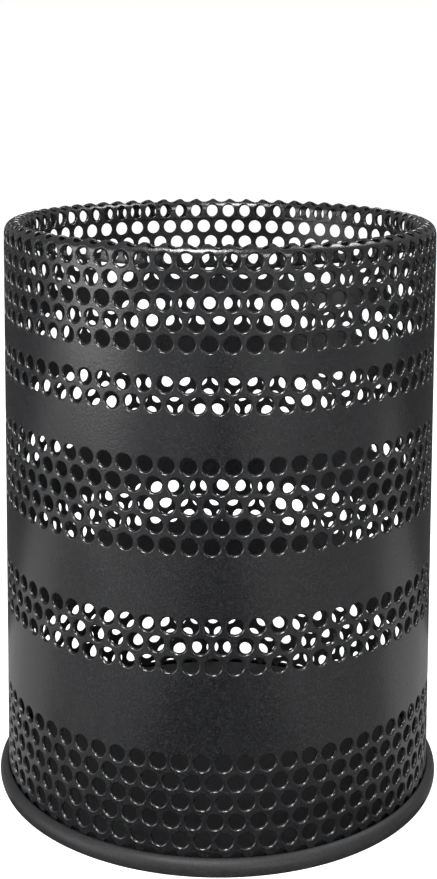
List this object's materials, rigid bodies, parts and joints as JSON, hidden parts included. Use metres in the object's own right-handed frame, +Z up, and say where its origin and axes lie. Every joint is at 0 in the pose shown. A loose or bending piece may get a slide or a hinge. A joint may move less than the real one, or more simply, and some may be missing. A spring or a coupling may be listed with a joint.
{
  "type": "pen holder cup",
  "caption": "Round desk cup for pens: a punched sheet-steel wall with a rolled rim, standing in the curled edge of a pressed steel base.",
  "frame": {"origin": "centre of the cup's axis on the table, level with the flat foot of the base", "axes": "+Z up along the cup's axis, -Y towards the front, the side the holes' pattern is measured from, +X to the right seen from the front"},
  "size_m": [0.1028, 0.1028, 0.13],
  "materials": {
    "wall_coating": "satin black powder coat",
    "base_coating": "satin black powder coat"
  },
  "bodies": {
    "root": {"perforated_wall": "wall_coating", "base_pan": "base_coating"}
  },
  "joints": []
}
